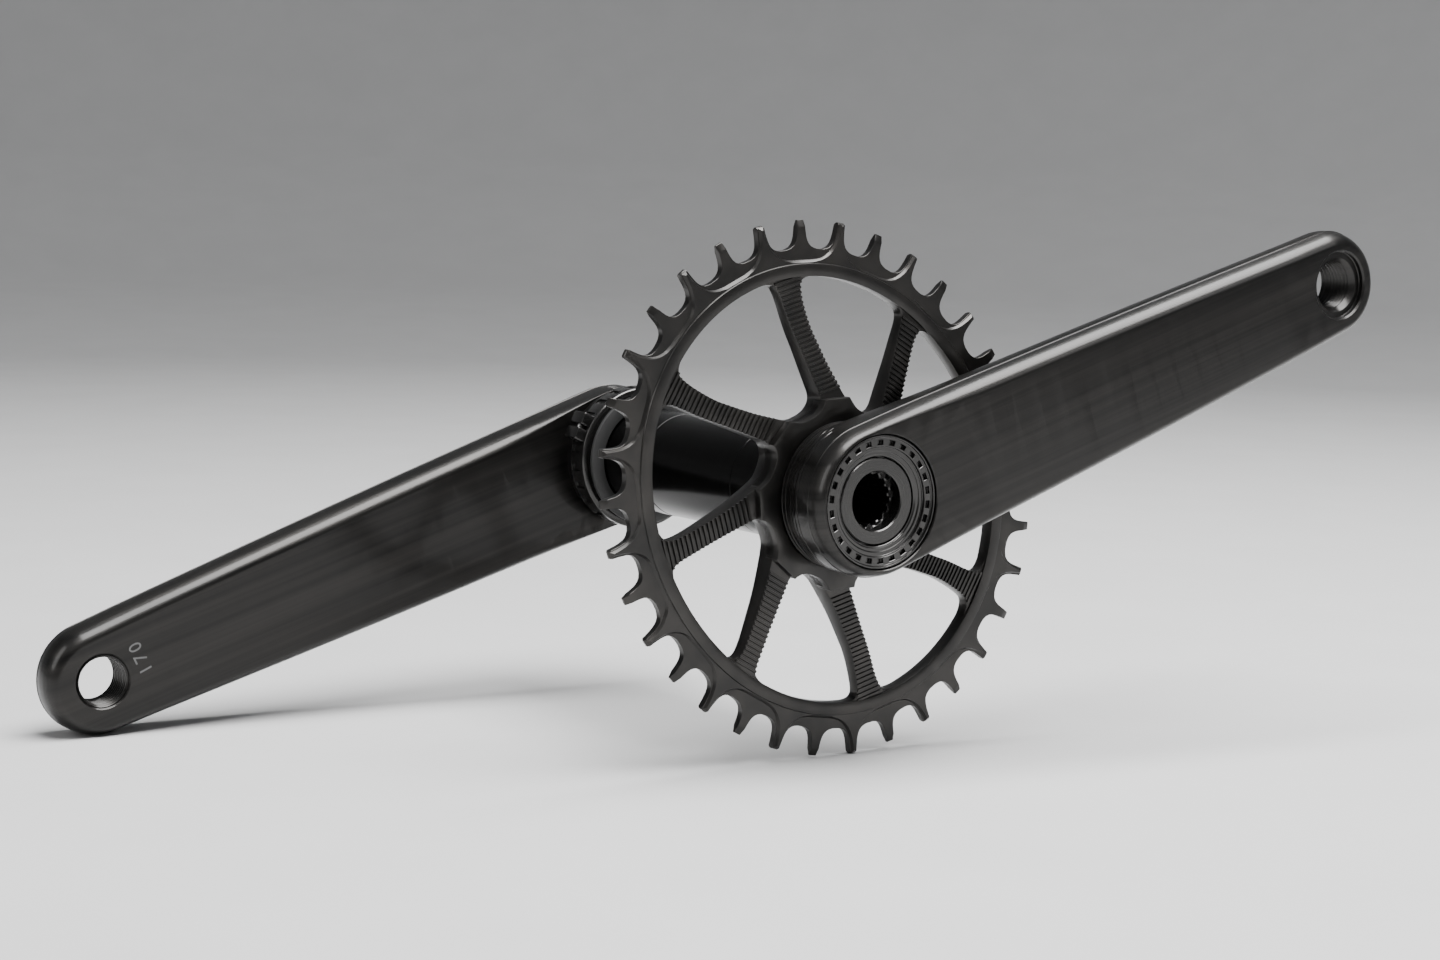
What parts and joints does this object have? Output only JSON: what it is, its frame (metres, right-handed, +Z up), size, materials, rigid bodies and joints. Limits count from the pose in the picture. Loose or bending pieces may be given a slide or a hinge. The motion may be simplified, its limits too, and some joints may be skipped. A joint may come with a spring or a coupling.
{
  "type": "bicycle crankset",
  "caption": "Single-ring bicycle crankset: two machined arms, a hollow spindle, an oval narrow-wide chainring, crank bolts and a bearing preload ring.",
  "frame": {"origin": "on the spindle axis, midway between the outer faces of the two pedal eyes, which is the centre of the bottom bracket", "axes": "+Y along the spindle from the drive side to the left side, +X towards the drive arm's pedal, +Z up with the drive arm raised 19.5 degrees"},
  "size_m": [0.3514, 0.1522, 0.1444],
  "materials": {
    "arm_black": "machined and anodised satin black",
    "ring_black": "machined and anodised satin black",
    "hardware_black": "turned and anodised black",
    "spindle_black": "polished and anodised gloss black",
    "bolt_black": "turned and anodised gloss black",
    "steel": "ground",
    "rubber": "matt",
    "plastic": "moulded"
  },
  "bodies": {
    "crank": {"drive_arm": "arm_black", "left_arm": "arm_black", "spindle": "spindle_black", "chainring": "ring_black", "chainring_lockring": "ring_black", "lockring_washer": "steel", "drive_bearing_spacer": "hardware_black", "drive_extractor_cap": "hardware_black", "left_extractor_cap": "hardware_black", "drive_cap_seal": "rubber", "left_cap_seal": "rubber"},
    "drive_washer": {"drive_bolt_washer": "steel"},
    "drive_bolt": {"drive_crank_bolt": "bolt_black"},
    "left_washer": {"left_bolt_washer": "steel"},
    "left_bolt": {"left_crank_bolt": "bolt_black"},
    "preload_stack": {"preload_thrust_washer": "plastic", "wave_washer": "steel"},
    "preload": {"preload_ring": "hardware_black"},
    "clamp_screw": {"preload_clamp_screw": "steel"}
  },
  "joints": [
    {"name": "drive_bolt_travel", "type": "slide", "parent": "crank", "child": "drive_washer", "axis": [0, -1, 0], "range_m": [0, 0.0005]},
    {"name": "drive_bolt_turn", "type": "hinge", "parent": "drive_washer", "child": "drive_bolt", "pos_m": [0, -0.065, 0], "axis": [0, -1, 0], "range_deg": [0, 120.5]},
    {"name": "left_bolt_travel", "type": "slide", "parent": "crank", "child": "left_washer", "axis": [0, 1, 0], "range_m": [0, 0.0005]},
    {"name": "left_bolt_turn", "type": "hinge", "parent": "left_washer", "child": "left_bolt", "pos_m": [0, 0.065, 0], "axis": [0, 1, 0], "range_deg": [0, 120.5]},
    {"name": "preload_travel", "type": "slide", "parent": "crank", "child": "preload_stack", "axis": [0, -1, 0], "range_m": [0, 0.00125]},
    {"name": "preload_turn", "type": "hinge", "parent": "preload_stack", "child": "preload", "pos_m": [0, 0.05, 0], "axis": [0, -1, 0], "range_deg": [0, 301]},
    {"name": "clamp_turn", "type": "hinge", "parent": "preload", "child": "clamp_screw", "pos_m": [-0.02004, 0.05, 0.00956], "axis": [-0.4305, 0, -0.9026], "range_deg": [0, 180]}
  ],
  "couplings": [
    {"joint": "drive_bolt_turn", "follows": "drive_bolt_travel", "rad_per_m": 4188.8},
    {"joint": "left_bolt_turn", "follows": "left_bolt_travel", "rad_per_m": 4188.8},
    {"joint": "preload_turn", "follows": "preload_travel", "rad_per_m": 4188.8}
  ]
}
